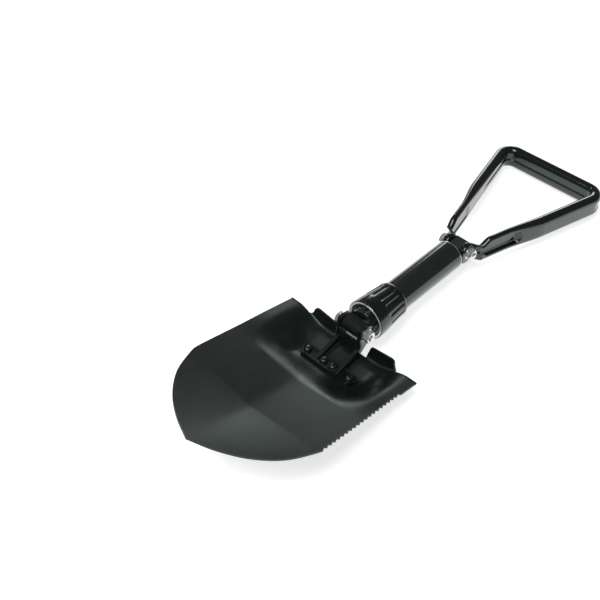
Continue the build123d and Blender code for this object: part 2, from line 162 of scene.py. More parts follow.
def catmull(points, steps):
    """Centripetal Catmull-Rom curve through plan points."""
    pts = [np.array(p, float) for p in points]
    pts = [2 * pts[0] - pts[1]] + pts + [2 * pts[-1] - pts[-2]]
    out = []
    for i in range(1, len(pts) - 2):
        p0, p1, p2, p3 = pts[i - 1:i + 3]
        t0 = 0.0
        t1 = t0 + np.linalg.norm(p1 - p0) ** 0.5
        t2 = t1 + np.linalg.norm(p2 - p1) ** 0.5
        t3 = t2 + np.linalg.norm(p3 - p2) ** 0.5
        for k in range(steps):
            t = t1 + (t2 - t1) * k / steps
            a1 = (t1 - t) / (t1 - t0) * p0 + (t - t0) / (t1 - t0) * p1
            a2 = (t2 - t) / (t2 - t1) * p1 + (t - t1) / (t2 - t1) * p2
            a3 = (t3 - t) / (t3 - t2) * p2 + (t - t2) / (t3 - t2) * p3
            b1 = (t2 - t) / (t2 - t0) * a1 + (t - t0) / (t2 - t0) * a2
            b2 = (t3 - t) / (t3 - t1) * a2 + (t - t1) / (t3 - t1) * a3
            out.append(tuple((t2 - t) / (t2 - t1) * b1 + (t - t1) / (t2 - t1) * b2))
    out.append(tuple(pts[-2]))
    return out


def rounded(outline, radii):
    """Rounds each corner of a closed (x, z) outline by its own radius, where the sides allow."""
    most, least = 0.45, 0.05      # the most of a side that a corner takes; too small to round
    steps = 5
    n = len(outline)
    out = []
    for i in range(n):
        p = np.array(outline[i], float)
        a = np.array(outline[i - 1], float) - p
        b = np.array(outline[(i + 1) % n], float) - p
        la, lb = np.linalg.norm(a), np.linalg.norm(b)
        reach = min(radii[i], la * most, lb * most)
        if reach < least:
            out.append(tuple(p))
            continue
        a, b = p + a / la * reach, p + b / lb * reach
        for k in range(steps + 1):
            t = k / steps
            out.append(tuple((1 - t) ** 2 * a + 2 * t * (1 - t) * p + t * t * b))
    return out


def bevel(obj, width_mm, segments, angle):
    """Rounds the edges that are sharper than an angle in degrees."""
    m = obj.modifiers.new("edge", "BEVEL")
    m.width = width_mm * 0.001
    m.segments = segments
    m.limit_method = "ANGLE"
    m.angle_limit = radians(angle)
    m.harden_normals = True


def thicken(obj, thick_mm):
    """Thickens an open sheet below its upper face, whichever way its faces are wound."""
    up = sum(f.normal.z * f.area for f in obj.data.polygons) > 0
    m = obj.modifiers.new("sheet", "SOLIDIFY")
    m.thickness = thick_mm * 0.001
    m.offset = -1 if up else 1


# ------------------------------------------------------------------ materials
def new_material(name):
    """A material with its node tree and its shader."""
    mat = bpy.data.materials.new(name)
    mat.use_nodes = True
    tree = mat.node_tree
    return mat, tree, tree.nodes["Principled BSDF"]


def noise(tree, scale, detail, roughness=0.5):
    """Noise over the piece's own coordinates, at a scale in lumps per metre."""
    where = tree.nodes.new("ShaderNodeTexCoord")
    n = tree.nodes.new("ShaderNodeTexNoise")
    n.inputs["Scale"].default_value = scale
    n.inputs["Detail"].default_value = detail
    n.inputs["Roughness"].default_value = roughness
    tree.links.new(where.outputs["Object"], n.inputs["Vector"])
    return n.outputs["Fac"]


def ramp(tree, source, low, high, low_value, high_value):
    """A value that goes from low_value to high_value as its source goes from low to high."""
    r = tree.nodes.new("ShaderNodeMapRange")
    r.inputs["From Min"].default_value = low
    r.inputs["From Max"].default_value = high
    r.inputs["To Min"].default_value = low_value
    r.inputs["To Max"].default_value = high_value
    tree.links.new(source, r.inputs["Value"])
    return r.outputs["Result"]


def mix_colour(tree, factor, a, b):
    """Colour a where the factor is 0 and b where it is 1; a may be another node's colour."""
    m = tree.nodes.new("ShaderNodeMix")
    m.data_type = "RGBA"
    if isinstance(a, tuple):
        m.inputs["A"].default_value = (*a, 1)
    else:
        tree.links.new(a, m.inputs["A"])
    m.inputs["B"].default_value = (*b, 1)
    tree.links.new(factor, m.inputs["Factor"])
    return m.outputs["Result"]


def add_bump(tree, shader, height, strength, distance):
    """Bump from a height socket, its distance in metres."""
    b = tree.nodes.new("ShaderNodeBump")
    b.inputs["Strength"].default_value = strength
    b.inputs["Distance"].default_value = distance
    tree.links.new(height, b.inputs["Height"])
    tree.links.new(b.outputs["Normal"], shader.inputs["Normal"])


# the middle span of a noise, over which a colour or a roughness goes from one end to the other
MIDDLE = (0.3, 0.7)
# the same for the paint's broad clouds
CLOUDS = (0.35, 0.68)
# pointiness of an edge where the painted highlight begins, and of one where it is full
EDGE_SPAN = (0.54, 0.66)
# painted highlight: the lighter colour laid on sharp edges, standing for light caught there
EDGE_HIGHLIGHT = (0.060, 0.068, 0.062)
GREEN_SHEEN = (0.76, 1.0, 0.88, 1)


def enamel(name, colour, thin, rough, peel, coat=0.0, edge=0.0):
    """Stoved enamel on steel: colour, its tint where it is thin, orange peel, a painted
    highlight on sharp edges.
    """
    mat, tree, sh = new_material(name)
    broad = noise(tree, 28, 3)
    fine = noise(tree, 150, 2)
    tone = mix_colour(tree, ramp(tree, broad, *CLOUDS, 0, 1), colour, thin)
    geo = tree.nodes.new("ShaderNodeNewGeometry")
    # painted highlight: sharp edges, found by pointiness, are lightened by the share edge
    painted_edge_highlight = ramp(tree, geo.outputs["Pointiness"], *EDGE_SPAN, 0.0, edge)
    tree.links.new(mix_colour(tree, painted_edge_highlight, tone, EDGE_HIGHLIGHT), sh.inputs["Base Color"])
    tree.links.new(ramp(tree, fine, *MIDDLE, rough * 0.9, rough * 1.1), sh.inputs["Roughness"])
    sh.inputs["Specular Tint"].default_value = GREEN_SHEEN
    sh.inputs["Coat Weight"].default_value = coat
    sh.inputs["Coat Roughness"].default_value = 0.06
    add_bump(tree, sh, fine, peel, 0.0006)
    return mat


def bright_metal(name, colour, dull, rough, metal):
    """Plated or turned steel with a slightly cloudy finish."""
    mat, tree, sh = new_material(name)
    cloud = noise(tree, 190, 4, 0.6)
    fine = noise(tree, 1500, 3, 0.6)
    tone = mix_colour(tree, ramp(tree, cloud, *MIDDLE, 0, 1), colour, dull)
    tree.links.new(tone, sh.inputs["Base Color"])
    sh.inputs["Metallic"].default_value = metal
    tree.links.new(ramp(tree, fine, *MIDDLE, rough * 0.75, rough * 1.3), sh.inputs["Roughness"])
    add_bump(tree, sh, fine, 0.08, 0.0001)
    return mat


BLADE_PAINT = enamel("blade_enamel", (0.0055, 0.0075, 0.0064), (0.0075, 0.0100, 0.0085),
                     rough=0.34, peel=0.008)
GLOSS = enamel("gloss_enamel", (0.0040, 0.0056, 0.0048), (0.0055, 0.0075, 0.0065),
               rough=0.16, peel=0.02, coat=0.5, edge=0.2)
COLLAR_GLOSS = enamel("collar_enamel", (0.0040, 0.0056, 0.0048), (0.0055, 0.0075, 0.0065),
                      rough=0.20, peel=0.02, coat=0.4, edge=0.3)
BRACKET_PAINT = enamel("bracket_enamel", (0.0045, 0.0060, 0.0052), (0.0070, 0.0090, 0.0080),
                       rough=0.20, peel=0.03, coat=0.4, edge=0.5)
DARK_STEEL = enamel("black_oxide", (0.0060, 0.0075, 0.0066), (0.0100, 0.0120, 0.0105),
                    rough=0.20, peel=0.03, coat=0.3, edge=0.6)
ZINC = bright_metal("zinc_plate", (0.84, 0.85, 0.84), (0.72, 0.73, 0.72), rough=0.26, metal=0.85)
TURNED = bright_metal("turned_steel", (0.90, 0.91, 0.91), (0.80, 0.81, 0.82),
                      rough=0.32, metal=0.75)

# ------------------------------------------------------------------ blade
HALF_WIDTH = 75.0         # at the shoulder
HALF_WIDTH_LOW = 77.0     # at the widest, where the straight sides end
SIDE_END = 126.5          # distance of the sides' end and of the tip from the pivot
TIP = 197.0
RIM_SHORT = 0.4           # the upper face stops this short of the tip; the lower is wider
SHEET = 2.0
EDGE_DROP = 13.8          # the shoulder's edge below the pivot
EDGE_RISE = 7.1           # how far the edge comes up from there to the tip
DISH = 7.6                # depth of the shallow dish at its crease
CREASE = 0.004            # softens the crease along the middle
POCKET = 18.0             # the deeper hollow where the hinge bracket sits
POCKET_HALF, POCKET_SIDE = 66.0, 34.0     # its half-width, and the run of its side walls
POCKET_END, POCKET_RAMP = 74.0, 40.0      # its end, and the run of the ramp up to it
POCKET_HEEL = 26.0                        # the run over which it deepens from the shoulder
TREAD_IN, TREAD_OUT = 21.0, 48.0          # the ends of a foot tread, from the middle
TREAD_FACE = 1.6                          # where its face on the toe's side stands
TREAD_BEND = 3.0                          # radius of its bend, on that face
TREAD_FOOT, TREAD_FULL = 19.6, 24.0       # the inner end, from its foot to its full height
TREAD_CORNER, TREAD_FLARE = 5.0, 6.0      # the outer end's round corner and flared foot
TREAD_TOP = (-11.2, -8.3)                 # heights of the edge at TREAD_IN and TREAD_TOP_END
TREAD_TOP_END = 46.0
SHOULDER = 1.5                            # the sheet beyond its bend line, beside the treads
TEETH = 20
TOOTH_PITCH = 5.0
TOOTH_START = 21.5
TOOTH_R = 2.75            # radius of a gullet
TOOTH_DEPTH = 2.1


def dish_z(x, y):
    """Height of the blade's hollow face at a point of its plan."""
    back = -x
    edge = -EDGE_DROP + EDGE_RISE * max(back, 0) / TIP
    s = abs(y) / HALF_WIDTH_LOW
    fade = min(max((back - SIDE_END) / (TIP - SIDE_END), 0), 1) ** 1.2
    crease = 1 - sqrt(s * s + CREASE) + sqrt(CREASE)
    bowl = smooth((POCKET_HALF - abs(y)) / POCKET_SIDE)
    pocket = smooth((POCKET_END - back) / POCKET_RAMP)
    deep = POCKET * (0.56 + 0.44 * smooth(back / POCKET_HEEL))
    return edge - (1 - pocket) * DISH * (1 - fade) * crease - pocket * deep * bowl


side_line = [(0, 74.8), (60, 75.8), (SIDE_END - 16, 76.75), (SIDE_END - 6, 76.4)]
toe_line = catmull(side_line[2:] + [(SIDE_END, 74.7), (SIDE_END + 24.5, 63.8),
                                    (SIDE_END + 44.5, 46.0), (SIDE_END + 59.7, 23.4),
                                    (TIP - RIM_SHORT, 0)], 24)
rim = np.array(side_line[:2] + toe_line)


def half_width(back):
    """Half-width of the blade at a distance from the pivot towards the toe."""
    return float(np.interp(back, rim[:, 0], rim[:, 1]))


def tooth_cut(back):
    """How far the saw's gullets reach in from the edge."""
    i = (back - TOOTH_START) / TOOTH_PITCH
    if not 0 <= i < TEETH:
        return 0.0
    off = back - TOOTH_START - TOOTH_PITCH * (int(i) + 0.5)
    return max(0.0, sqrt(max(TOOTH_R ** 2 - off * off, 0)) - (TOOTH_R - TOOTH_DEPTH))


def tread_length(y):
    """How far the sheet runs on past its bend line at a distance from the middle."""
    y = abs(y)
    top = lerp(*TREAD_TOP, (y - TREAD_IN) / (TREAD_TOP_END - TREAD_IN))
    full = TREAD_BEND * pi / 2 + top - dish_z(0, y) - TREAD_BEND
    if y < TREAD_FOOT or y > TREAD_OUT + TREAD_FLARE:
        return SHOULDER
    if y < TREAD_FULL:
        t = (TREAD_FULL - y) / (TREAD_FULL - TREAD_FOOT)
        return lerp(SHOULDER, full, sqrt(max(0, 1 - t ** 6)))
    if y < TREAD_OUT - TREAD_CORNER:
        return full
    if y < TREAD_OUT:
        t = (y - TREAD_OUT + TREAD_CORNER) / TREAD_CORNER
        return full - TREAD_CORNER * (1 - sqrt(max(0, 1 - t ** 2)))
    t = (y - TREAD_OUT) / TREAD_FLARE
    return lerp(full - TREAD_CORNER, SHOULDER, 1 - (1 - t) ** 3.2)


# the mesh's columns at the shoulder, close together at the ends of the treads and at the edge
columns = [0, 3, 6, 9, 12, 15, 17, 18.4, 19.2, 19.6, 19.75, 20, 20.4, 21, 21.8, 22.8, 24, 27,
           31, 35, 39, 43, 44.3, 45.4, 46.3, 47, 47.5, 47.8, 48, 48.2, 48.6, 49.2, 50, 51, 52.4,
           54, 57, 60.5, 64, 67, 69.5, 71.2, 72.4, 73.4, 74.3, 75]
across = [c / HALF_WIDTH for c in columns]
across = [-a for a in across[:0:-1]] + across
# and its rows from the tip to the bend line, half a millimetre apart along the saw
backs = list(np.linspace(TIP - RIM_SHORT, SIDE_END - 4, 72))
backs += list(np.arange(TOOTH_START + TOOTH_PITCH * TEETH + 0.5, TOOTH_START - 0.6, -0.5))
backs += list(np.linspace(TOOTH_START - 1.5, TREAD_BEND - TREAD_FACE, 14))
TOOTHED = 0.93            # share of the half-width past which the saw's cuts move the mesh

rows = []
for back in backs:
    wide = half_width(back)
    row = []
    for u in across:
        y = u * wide
        if u < -TOOTHED:
            y += tooth_cut(back) * (-u - TOOTHED) / (1 - TOOTHED)
        row.append((-back, y, dish_z(-back, y)))
    rows.append(row)
bend_x = TREAD_FACE - TREAD_BEND
for share in (0.12, 0.24, 0.36, 0.48, 0.6, 0.7, 0.8, 0.88, 0.94, 0.98, 1.0):
    row = []
    for u in across:
        y = u * HALF_WIDTH
        run = tread_length(y) * share
        arc = min(run, TREAD_BEND * pi / 2)
        turn = arc / TREAD_BEND
        x = bend_x + TREAD_BEND * sin(turn)
        z = dish_z(bend_x, y) + TREAD_BEND * (1 - cos(turn)) + (run - arc)
        row.append((x, y, z))
    rows.append(row)
blade = piece("blade_sheet", [grid(rows)], BLADE, "blade", BLADE_PAINT,
              ["blade"], sharp=60)
thicken(blade, SHEET)
bevel(blade, 0.4, 2, 50)

# ------------------------------------------------------------------ hinge bracket
EAR_IN, EAR_OUT = 10.5, 14.0
CAM = 7.5                 # half the square at the top of the ears, which the collar locks on
STRAP_X, STRAP_HALF_X, STRAP_HALF_Y, STRAP_THICK = -28.5, 7.0, 31.0, 2.5
STRAP_GAP = 0.15
HEEL, HEEL_THICK, HEEL_TOP = -6.2, 2.4, -7.6      # web between the ears, on the toe's side
RIVETS = [(-28.5, 25.0), (-28.5, -25.0), (-28.5, 5.4), (-28.5, -5.4)]


def strap_z(x, y):
    """Height of the bracket's upper face, which follows the blade's."""
    return dish_z(x, y) + STRAP_GAP + STRAP_THICK


strap_rows = []
straight = STRAP_HALF_Y - STRAP_HALF_X
ends = [straight + STRAP_HALF_X * sin(a) for a in np.linspace(0, pi / 2, 9)]
ys = [-e for e in ends[::-1]] + list(np.linspace(-straight, straight, 33))[1:-1] + ends
NO_WIDTH = 0.02           # half-width left at the very ends of the strap
for y in ys:
    past = max(abs(y) - straight, 0)
    half = sqrt(max(STRAP_HALF_X ** 2 - past ** 2, NO_WIDTH ** 2))
    strap_rows.append([(STRAP_X + half * v, y, strap_z(STRAP_X + half * v, y))
                       for v in (-1, -0.75, -0.5, -0.25, 0, 0.25, 0.5, 0.75, 1)])
strap = piece("bracket_strap", [grid(strap_rows)], BLADE, "blade",
              BRACKET_PAINT)
thicken(strap, STRAP_THICK - 0.05)
bevel(strap, 0.7, 3, 50)

# the plate that joins the ears, a hair lower than the strap that crosses it
BASE_BACK, BASE_FRONT = -3.6, -35.4
base_rows = [[(x, y, strap_z(x, y) - 0.02) for y in np.linspace(-EAR_OUT, EAR_OUT, 17)]
             for x in np.linspace(BASE_FRONT, BASE_BACK, 21)]
# an ear, from the corner by the collar down to the blade, towards the toe, and back up
ear_line = [(CAM, CAM), (CAM, 0), (5.5, -12), (-2, -21.0)]
ear_line += [(x, strap_z(x, EAR_OUT) - 1.2) for x in (-4, -10, -17, -24, -32)]
ear_line += [(-35, strap_z(-35, EAR_OUT) - 0.6), (-25, -24.9), (-13, -19.2), (-6.0, -15.4),
             (-6.0, -7.2), (-CAM, -4.2), (-CAM, CAM)]
ear_radii = [3.1, 6, 8, 5, 0.2, 0, 0, 0, 0.2, 1, 8, 8, 3, 2, 2, 3.1]
ear = rounded(ear_line, ear_radii)
base = piece("bracket_base", [grid(base_rows)], BLADE, "blade",
             BRACKET_PAINT)
thicken(base, STRAP_THICK - 0.1)
bevel(base, 0.5, 2, 50)
ears = piece("bracket_ears", [plate(ear, EAR_IN, EAR_OUT), plate(ear, -EAR_OUT, -EAR_IN)],
             BLADE, "blade", BRACKET_PAINT, ["hinge_bracket"])
bevel(ears, 0.6, 3, 40)

heel_low = strap_z(HEEL, 0) - 1.0
heel_line = [(HEEL, HEEL_TOP), (HEEL + HEEL_THICK, HEEL_TOP),
             (HEEL + HEEL_THICK, heel_low), (HEEL, heel_low)]
heel = piece("bracket_heel", [plate(heel_line, -EAR_IN - 0.4, EAR_IN + 0.4)], BLADE, "blade",
             BRACKET_PAINT)
bevel(heel, 0.5, 3, 40)

# a rolled fillet inside each ear, where it rises from the base plate
FILLET = 2.4
fillets = []
for side in (1, -1):
    strip = []
    for x in np.linspace(-33.5, HEEL, 18):
        top = strap_z(x, EAR_IN) - 0.05
        strip.append([(x, side * (EAR_IN - FILLET * (1 - sin(a))), top + FILLET * (1 - cos(a)))
                      for a in np.linspace(0, pi / 2, 7)])
    fillets.append(grid(strip))
fillet = piece("bracket_fillets", fillets, BLADE, "blade", BRACKET_PAINT)
thicken(fillet, 0.5)

RIVET_R, DOME_FOOT, DOME_RISE = 4.0, 0.9, 2.3     # a head is a dome on a short straight foot
rivet_parts = []
for x, y in RIVETS:
    top = strap_z(x, y)
    dome = [(top - 0.4, 0.0), (top - 0.4, RIVET_R), (top + 0.25, RIVET_R + 0.2),
            (top + DOME_FOOT, RIVET_R)]
    dome += [(top + DOME_FOOT + DOME_RISE * sin(a), RIVET_R * cos(a) ** 0.8)
             for a in np.linspace(0.12, 1.45, 9)]
    dome.append((top + DOME_FOOT + DOME_RISE, 0.0))
    rivet_parts.append(lathe(dome, "Z", 40, (x, y, 0)))
    low = dish_z(x, y) - SHEET
    tail = [(low + 0.3, 0.0), (low + 0.3, RIVET_R), (low - 0.35, RIVET_R + 0.15),
            (low - 0.8, 3.6), (low - 1.1, 2.4), (low - 1.15, 0.0)]
    rivet_parts.append(lathe(tail, "Z", 40, (x, y, 0)))
piece("rivet_heads", rivet_parts, BLADE, "blade", DARK_STEEL,
      ["bracket_rivets"], sharp=50)

# ------------------------------------------------------------------ bolts and nuts
HEX_HALF = 5.0            # half the width across the flats
HEAD_HEIGHT, NUT_HEIGHT = 4.0, 5.0
BOLT_R = 3.0
BOLT_SKIN = BOLT_R - 0.02
BOLT_THREAD, BOLT_PITCH, BOLT_CHAMFER = 0.45, 1.0, 0.9
BOLT_PAST = 6.5           # the bolt's end past the nut's washer
WASHER_T = 1.2
CONE = 0.97               # radius where the corner cones start, as a share of half the flats
FACE_RING = 0.86          # a ring inside it that keeps the end face flat


def hex_skin(low, high, bore, chamfer_low, chamfer_high):
    """A hexagon along Y from low to high, its corners turned off by 30 degree cones.

    bore is the hole's radius as a share of half the flats, or 0 for none.
    """
    steps = 96
    rings = []
    levels = [(low, bore), (low, FACE_RING), (low, CONE), (low, None), (high, None),
              (high, CONE), (high, FACE_RING), (high, bore)]
    for along, share in levels:
        ring = []
        for k in range(steps):
            t = 2 * pi * k / steps
            flat = HEX_HALF / cos((t % (pi / 3)) - pi / 6)
            if share is None:
                r = flat
                cut = max(0, r - HEX_HALF * CONE) * tan(radians(30))
                y = along + cut if along == low and chamfer_low else along
                y = along - cut if along == high and chamfer_high else y
            else:
                r = HEX_HALF * share
                y = along
            ring.append((r * cos(t), y, r * sin(t)))
        rings.append(ring)
    if bore:
        return tube_of(rings + [rings[0]], cap=False)
    return tube_of(rings)


def threaded_end(low, high):
    """The bolt's end along Y: a shallow V thread, with a chamfer at low, its free end."""
    steps = 36
    n = int((high - low) / BOLT_PITCH * 8)
    rings = []
    for i in range(n + 1):
        y = low + (high - low) * i / n
        ring = []
        for k in range(steps):
            t = 2 * pi * k / steps
            phase = (y / BOLT_PITCH - t / (2 * pi)) % 1.0
            r = min(BOLT_SKIN - BOLT_THREAD * abs(2 * phase - 1),
                    BOLT_SKIN - BOLT_CHAMFER + y - low)
            ring.append((r * cos(t), y, r * sin(t)))
        rings.append(ring)
    return tube_of(rings)


def cross_bolt(name, outer, place, body, nodes):
    """Hex bolt with its head at +Y, its nut at -Y and a washer under each."""
    face = outer + WASHER_T
    head = hex_skin(face, face + HEAD_HEIGHT, 0, False, True)
    shank = lathe([(-face - 0.5, 0), (-face - 0.5, BOLT_SKIN), (face + 0.5, BOLT_SKIN),
                   (face + 0.5, 0)], "Y", 48)
    end = threaded_end(-face - BOLT_PAST, -face - 0.2)
    piece(name + "_bolt", [head, shank, end], place, body, ZINC, [nodes[0]], sharp=25)
    nut = hex_skin(-face - NUT_HEIGHT, -face, BOLT_R / HEX_HALF + 0.01, True, True)
    piece(name + "_nut", [nut], place, body, ZINC, [nodes[1]], sharp=25)


cross_bolt("blade_pin", EAR_OUT, BLADE, "blade", ["blade_pivot_bolt", "blade_pivot_nut"])
HANDLE_EAR_IN, HANDLE_EAR_OUT = 6.9, 13.6
cross_bolt("handle_pin", HANDLE_EAR_OUT, HANDLE, "handle",
           ["handle_pivot_bolt", "handle_pivot_nut"])

# ------------------------------------------------------------------ threaded knuckle
THREAD_R, THREAD_START, THREAD_END = 13.0, 10.0, 33.0
THREAD_PITCH, THREAD_DEPTH, THREAD_LEAD = 3.0, 1.25, 1.4
THREAD_FLANK, THREAD_FLAT = 1.5, 0.25     # steepness of its sides, and how flat its crest is
THREAD_AROUND, THREAD_LEVELS = 96, 10     # the mesh's points around, and levels for each turn
KNUCKLE_HALF = 10.2
thread_rings = []
levels = int((THREAD_END - THREAD_START) / THREAD_PITCH * THREAD_LEVELS)
for i in range(levels + 1):
    x = THREAD_START + (THREAD_END - THREAD_START) * i / levels
    # the crest is turned down towards the eye, where the thread starts
    crest = THREAD_R - 0.05 - (1 - min(1.0, (x - THREAD_START) / THREAD_LEAD))
    ring = []
    for k in range(THREAD_AROUND):
        t = 2 * pi * k / THREAD_AROUND
        phase = (x / THREAD_PITCH - t / (2 * pi)) % 1.0
        groove = min(1.0, max(0.0, abs(2 * phase - 1) * THREAD_FLANK - THREAD_FLAT))
        r = crest - THREAD_DEPTH * groove
        ring.append((x, r * cos(t), r * sin(t)))
    thread_rings.append(ring)
shank = lathe([(THREAD_END - 0.1, 0), (THREAD_END - 0.1, 12), (38, 12), (38, 12.9), (71, 12.9),
               (72, 12), (72, 8), (50, 8), (50, 0)], "X", 72)
# the eye's outline: a round about the pivot, and the block below that joins it to the thread
EYE_R = 6.9
NECK_LOW, NECK_END = -12.0, 8.2
eye_line = [(EYE_R * cos(a), PIVOT_RISE + EYE_R * sin(a))
            for a in np.linspace(radians(75), radians(225), 24)]
eye_line += [(-2.4, -8.8), (-1.0, NECK_LOW), (NECK_END - 0.8, NECK_LOW), (NECK_END, -8.0),
             (THREAD_START + 1, -8.0), (THREAD_START + 1, 8.0), (6, PIVOT_RISE + EYE_R)]
piece("knuckle_forging", [tube_of(thread_rings), shank], TUBE, "shaft",
      DARK_STEEL, ["threaded_knuckle"], sharp=30)
# the outline is followed in short steps, so that the bolt's bore inside it comes out round
EYE_STEPS = 10
eye_fine = [(lerp(x0, x1, k / EYE_STEPS), lerp(z0, z1, k / EYE_STEPS))
            for (x0, z0), (x1, z1) in zip(eye_line, eye_line[1:] + eye_line[:1])
            for k in range(EYE_STEPS)]
BORE_R = BOLT_R + 0.05
eye_bore = []
for x, z in eye_fine:
    far = sqrt(x * x + (z - PIVOT_RISE) ** 2)
    eye_bore.append((BORE_R * x / far, PIVOT_RISE + BORE_R * (z - PIVOT_RISE) / far))
walls = [(eye_fine, -1), (eye_fine, 1), (eye_bore, 1), (eye_bore, -1), (eye_fine, -1)]
eye_rings = [[(x, side * KNUCKLE_HALF, z) for x, z in line] for line, side in walls]
eye = piece("knuckle_eye", [tube_of(eye_rings, cap=False)], TUBE, "shaft",
            DARK_STEEL, sharp=30)
bevel(eye, 0.8, 3, 35)

# ------------------------------------------------------------------ lock collar
COLLAR_FRONT, COLLAR_LENGTH = 15.2, 39.0
COLLAR_FRONT_R, COLLAR_REAR_R, COLLAR_BORE_R = 20.0, 17.5, 15.4
SEAT_DEPTH, BUSH_R = 2.2, 16.25           # the thrust ring's seat, and the bore round the bush
TAPER_START, TAPER_LENGTH = 6.0, 29.0     # lengths here are from the collar's front
SKIN_START, SKIN_STOP, SKIN_STEPS = 1.5, 1.6, 44      # the outer face between its two lips
FLUTES = 14
FLUTE_FRONT, FLUTE_RUN_IN = 12.5, 4.0     # where a flute starts, and the length of its round end
FLUTE_REAR, FLUTE_RUN_OUT = 3.4, 2.2      # the same at the rear, from the collar's end
FLUTE_DEPTH, FLUTE_HALF, FLUTE_WALL = 1.0, 0.52, 0.34     # widths as shares of half a spacing
RING_OUT = 19.2                           # outer radius of the thrust ring
AROUND = 16 * FLUTES                      # points around the mesh

shell = [(SEAT_DEPTH, BUSH_R), (SEAT_DEPTH, RING_OUT + 0.05), (0.1, RING_OUT + 0.05),
         (0.0, RING_OUT + 0.2), (0.05, 19.6), (0.3, 19.85), (0.9, 19.97)]
for i in range(SKIN_STEPS + 1):
    x = SKIN_START + (COLLAR_LENGTH - SKIN_STOP - SKIN_START) * i / SKIN_STEPS
    t = min(max((x - TAPER_START) / TAPER_LENGTH, 0), 1)
    shell.append((x, lerp(COLLAR_FRONT_R, COLLAR_REAR_R, 0.5 * smooth(t) + 0.5 * t)))
shell += [(COLLAR_LENGTH - 0.9, 17.2), (COLLAR_LENGTH - 0.3, 16.9), (COLLAR_LENGTH, 16.4),
          (COLLAR_LENGTH, 15.6), (COLLAR_LENGTH - 0.3, COLLAR_BORE_R),
          (THREAD_END - COLLAR_FRONT, COLLAR_BORE_R), (THREAD_END - COLLAR_FRONT, BUSH_R),
          (SEAT_DEPTH, BUSH_R)]


def flute(x, t):
    """Depth of the long finger grooves with round ends, between the front band and rear lip."""
    start = min(max((x - FLUTE_FRONT) / FLUTE_RUN_IN, 0), 1)
    stop = min(max((COLLAR_LENGTH - FLUTE_REAR - x) / FLUTE_RUN_OUT, 0), 1)
    around = abs((t * FLUTES / (2 * pi) + 0.5) % 1.0 - 0.5) * 2
    return FLUTE_DEPTH * smooth(start * stop) * smooth((FLUTE_HALF - around) / FLUTE_WALL)


rings = []
for along, radius in shell:
    ring = []
    for k in range(AROUND):
        t = 2 * pi * k / AROUND
        # the outer face has the flutes, the bore has none
        r = radius - flute(along, t) if radius > BUSH_R + 0.25 else radius
        ring.append((COLLAR_FRONT + along, r * cos(t), r * sin(t)))
    rings.append(ring)
piece("collar_grip", [tube_of(rings, cap=False)], TUBE, "collar", COLLAR_GLOSS,
      ["collar_shell"], sharp=50)

# ------------------------------------------------------------------ D-handle
GRIP_OUTER = 171.4        # the grip's outer face, from the handle's pivot
BAR_W, BAR_D, BEND_R = 12.0, 24.0, 12.5
LEG_IN = np.array([11.0, 15.5])           # plan point where a leg's inner face starts
SPLAY = radians(14.1)
FLAT_END, TAPER_END = 46.0, 84.0          # the flat leg swells into the full bar between these
FLAT_THICK, FLAT_DEPTH = 7.0, 25.0
GROOVE_END, GROOVE_HALF, WEB = 60.0, 7.0, 3.5
EAR_R, EAR_HEEL, NECK_TOP = 9.2, (-2.5, -4.0), 5.8     # the ear's round top and round heel
RISE_START, RISE_RUN = 10.7, 12.3         # the leg rises to its full height behind the neck
WALL = 0.8                                # half the run of a pressed groove's side walls
LEG_ROUND, BAR_ROUND = 3.4, 6.0           # radii of the corners of their sections
LEG_DIP, DIP_START, DIP_END = 1.1, 12.0, 56.0     # the dip in a leg's inner face
PINCH, PINCH_HALF = 1.1, 4.5              # the crease in the outer face of the bend
SEAM_HALF, SEAM_DEPTH = 1.3, 1.0          # the seam in the bar's inner face
leg_way = np.array([cos(SPLAY), sin(SPLAY)])
leg_out = np.array([-sin(SPLAY), cos(SPLAY)])


def on_leg(reach, depth):
    """Plan point of a leg at a reach from the pivot, depth outward from its inner face."""
    return LEG_IN + leg_way * ((reach - LEG_IN[0]) / cos(SPLAY)) + leg_out * depth


def side_levels(low, high, half):
    """Heights up a flat side, close together where the walls of its groove are."""
    half = max(min(half, high - 0.2, -low - 0.2), 0.05)
    steps = [np.linspace(low, -half - WALL, 4)[:-1], np.linspace(-half - WALL, -half + WALL, 7),
             np.linspace(-half + WALL, half - WALL, 7)[1:-1],
             np.linspace(half - WALL, half + WALL, 7), np.linspace(half + WALL, high, 4)[1:]]
    return np.sort(np.clip(np.concatenate(steps), low, high)), half


def pressed_ring(inner, outer, top, bottom, round_r, groove=0.0, half=GROOVE_HALF, dip=0.0,
                 dip_half=GROOVE_HALF):
    """A section between two plan points: groove sinks its outer face, dip its inner one."""
    inner, outer = np.array(inner, float), np.array(outer, float)
    wide = float(np.linalg.norm(outer - inner))
    way = (outer - inner) / wide
    r = min(round_r, wide / 2 - 0.05, 0.48 * (top - bottom))
    low, high = bottom + r, top - r
    spots = []
    levels, reach = side_levels(low, high, half)
    for z in levels:
        spots.append((wide - groove * smooth((reach + WALL - abs(z)) / (2 * WALL)), z))
    for a in np.linspace(0, pi / 2, 8)[1:]:
        spots.append((wide - r + r * cos(a), high + r * sin(a)))
    for a in np.linspace(pi / 2, pi, 8)[:-1]:
        spots.append((r + r * cos(a), high + r * sin(a)))
    levels, reach = side_levels(low, high, dip_half)
    for z in levels[::-1]:
        spots.append((dip * smooth((reach + WALL - abs(z)) / (2 * WALL)), z))
    for a in np.linspace(pi, 1.5 * pi, 8)[1:]:
        spots.append((r + r * cos(a), low + r * sin(a)))
    for a in np.linspace(1.5 * pi, 2 * pi, 8)[:-1]:
        spots.append((wide - r + r * cos(a), low + r * sin(a)))
    return [(*(inner + way * o), z) for o, z in spots]


def ear_bottom(x):
    """Lower edge of the ear: a rounded heel, then straight."""
    heel_x, heel_z = EAR_HEEL
    if x > heel_x:
        return -FLAT_DEPTH / 2
    t = (heel_x - x) / (EAR_R + heel_x)
    return heel_z - (FLAT_DEPTH / 2 + heel_z) * sqrt(max(1 - t ** 2, 0))


